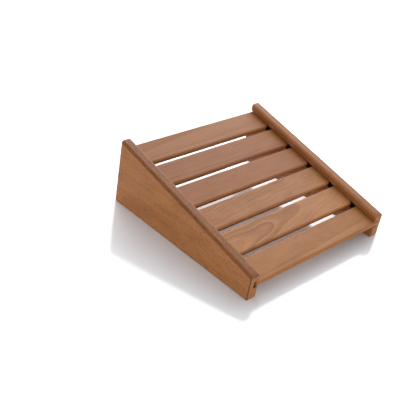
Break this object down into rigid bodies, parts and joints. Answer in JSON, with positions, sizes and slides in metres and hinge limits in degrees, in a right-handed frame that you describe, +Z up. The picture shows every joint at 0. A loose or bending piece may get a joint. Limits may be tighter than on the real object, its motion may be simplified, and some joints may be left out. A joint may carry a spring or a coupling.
{
  "type": "sauna headrest",
  "caption": "Free-standing wedge-shaped slatted wooden headrest: flat slats held in the grooves of two tapered side cheeks, sloping up from front to rear.",
  "frame": {"origin": "under the middle of the headrest's box, on the surface that it stands on", "axes": "+X along the slats towards the right cheek, +Y from the low front end to the high rear end, +Z up"},
  "size_m": [0.37, 0.3518, 0.128],
  "materials": {
    "cheek_wood": "planed and sanded heat-treated hardwood, unvarnished, fine dark flecks",
    "slat_wood": "planed and sanded heat-treated hardwood, unvarnished, satin",
    "brad_steel": "drawn stainless wire"
  },
  "bodies": {
    "root": {"cheek_left": "cheek_wood", "cheek_right": "cheek_wood", "slat_1": "slat_wood", "slat_2": "slat_wood", "slat_3": "slat_wood", "slat_4": "slat_wood", "slat_5": "slat_wood", "slat_6": "slat_wood", "brad_left_1": "brad_steel", "brad_left_2": "brad_steel", "brad_left_3": "brad_steel", "brad_left_4": "brad_steel", "brad_left_5": "brad_steel", "brad_left_6": "brad_steel", "brad_right_1": "brad_steel", "brad_right_2": "brad_steel", "brad_right_3": "brad_steel", "brad_right_4": "brad_steel", "brad_right_5": "brad_steel", "brad_right_6": "brad_steel"}
  },
  "joints": []
}
